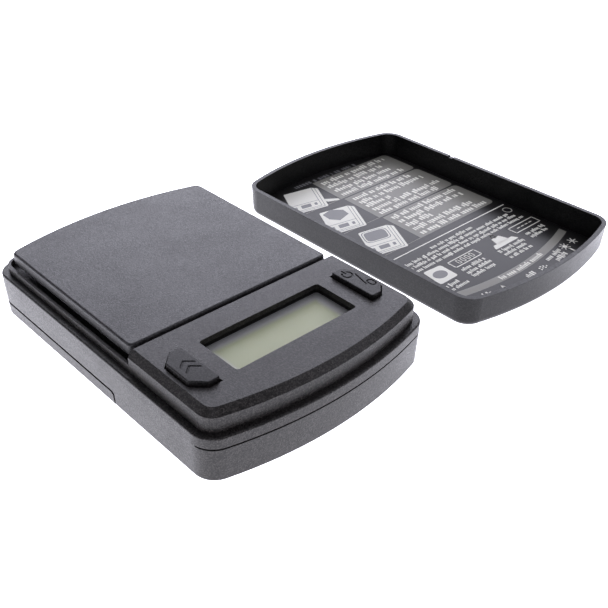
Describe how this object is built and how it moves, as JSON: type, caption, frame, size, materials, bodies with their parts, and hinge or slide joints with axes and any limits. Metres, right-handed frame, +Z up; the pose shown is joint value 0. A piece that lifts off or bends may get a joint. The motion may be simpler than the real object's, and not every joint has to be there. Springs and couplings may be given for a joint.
{
  "type": "digital gram scale",
  "caption": "Pocket scale with a rectangular weighing platform, a recessed display between two side keys, and a loose tray-shaped lid that covers it.",
  "frame": {"origin": "on the ground midway between the scale and its lid, under the line the lid turns over about", "axes": "+X from the scale to the lid, +Y from the keypad to the weighing platform, +Z up"},
  "size_m": [0.1758, 0.114, 0.0223],
  "materials": {
    "charcoal_plastic": "fine satin texture",
    "platform_plastic": "fine satin texture",
    "key_plastic": "satin",
    "inner_plastic": "black, moulded",
    "foot_rubber": "soft matte",
    "screw_steel": "zinc plated",
    "beam_aluminium": "milled",
    "sealant": "white sealant",
    "wire_jacket": "wire insulation",
    "board_laminate": "green solder mask",
    "chip_resin": "moulded resin",
    "display_face": "grey green reflective display",
    "clear_window": "clear",
    "switch_body": "moulded",
    "cell_jacket": "printed sleeve",
    "contact_metal": "nickel plated",
    "label_print": "printed film"
  },
  "bodies": {
    "scale": {"lower_casing": "charcoal_plastic", "upper_casing": "charcoal_plastic", "front_feet": "foot_rubber", "casing_screws": "screw_steel", "load_cell": "beam_aluminium", "gauge_seal": "sealant", "load_cell_screws": "screw_steel", "load_cell_wires": "wire_jacket", "circuit_board": "board_laminate", "board_screws": "screw_steel", "microchip": "chip_resin", "board_components": "chip_resin", "display_glass": "display_face", "display_window": "clear_window", "display_holder": "inner_plastic", "contact_strips": "sealant", "mode_switch": "switch_body", "power_switch": "switch_body", "battery_front": "cell_jacket", "battery_back": "cell_jacket", "contact_plates": "contact_metal", "contact_springs": "contact_metal", "battery_leads": "wire_jacket"},
    "platform": {"weighing_platform": "platform_plastic", "platform_carrier": "inner_plastic", "platform_pads": "foot_rubber", "carrier_screws": "screw_steel"},
    "mode_key": {"mode_button": "key_plastic", "mode_plunger": "inner_plastic"},
    "power_key": {"power_button": "key_plastic", "power_plunger": "inner_plastic"},
    "door": {"battery_door": "charcoal_plastic", "rear_feet": "foot_rubber"},
    "cover": {"lid": "charcoal_plastic", "lid_label": "label_print"}
  },
  "joints": [
    {"name": "platform_sink", "type": "slide", "parent": "scale", "child": "platform", "axis": [0, 0, -1], "range_m": [0, 0.0004], "stiffness_N_per_m": 12000, "deforming": ["load_cell"]},
    {"name": "mode_press", "type": "slide", "parent": "scale", "child": "mode_key", "axis": [0, 0, -1], "range_m": [0, 0.0006], "stiffness_N_per_m": 1500},
    {"name": "power_press", "type": "slide", "parent": "scale", "child": "power_key", "axis": [0, 0, -1], "range_m": [0, 0.0006], "stiffness_N_per_m": 1500},
    {"name": "door_slide", "type": "slide", "parent": "scale", "child": "door", "axis": [0, 1, 0], "range_m": [0, 0.07]},
    {"name": "lid_turn", "type": "hinge", "parent": "scale", "child": "cover", "pos_m": [0, 0, 0.01255], "axis": [0, -1, 0], "range_deg": [0, 180]}
  ]
}
